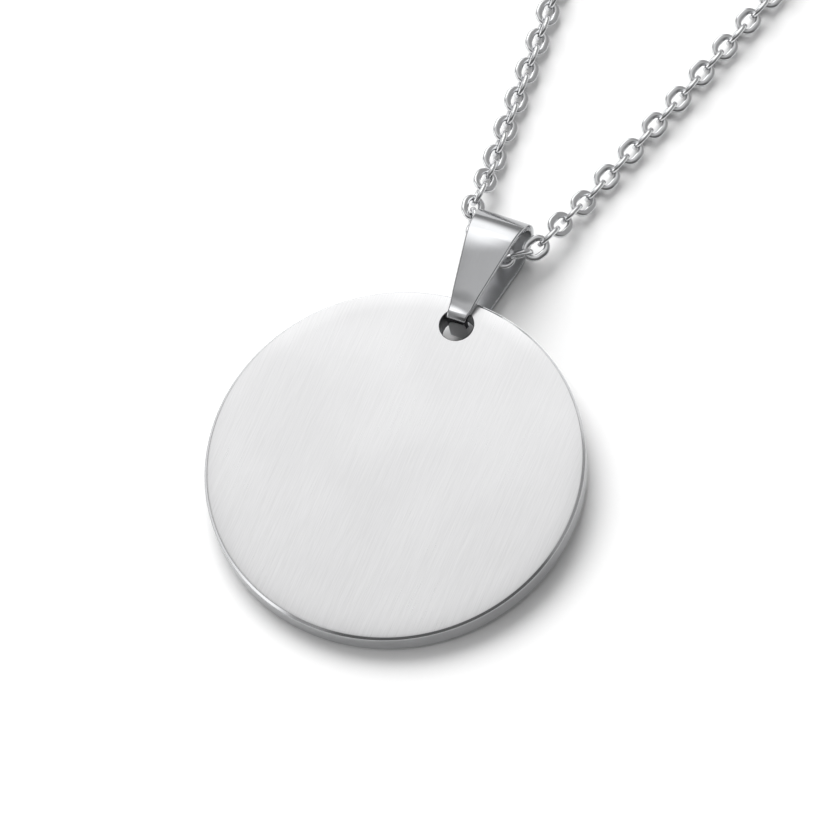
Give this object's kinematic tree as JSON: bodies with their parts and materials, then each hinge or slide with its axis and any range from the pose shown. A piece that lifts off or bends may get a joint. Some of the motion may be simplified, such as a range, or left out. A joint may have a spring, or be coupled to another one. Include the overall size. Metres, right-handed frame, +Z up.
{
  "type": "disc pendant",
  "caption": "Round steel disc pendant on a folded strip bail, with its fine cable chain closed by a lobster clasp and laid out flat.",
  "frame": {"origin": "centre of the whole laid necklace, on the surface it lies on", "axes": "+Y from the disc up along it and on to the clasp, +X across the disc, +Z up from the surface"},
  "size_m": [0.0781, 0.2599, 0.0054],
  "materials": {
    "disc_steel": "fine brushed faces, polished bevel and edge",
    "bail_steel": "polished strip of stainless steel",
    "chain_steel": "polished wire of stainless steel",
    "clasp_steel": "polished cast stainless steel"
  },
  "bodies": {
    "root": {"disc": "disc_steel", "bail": "bail_steel", "chain_right": "chain_steel", "chain_left": "chain_steel", "chain_back": "chain_steel", "clasp": "clasp_steel", "clasp_ring": "chain_steel", "end_ring": "chain_steel"}
  },
  "joints": []
}
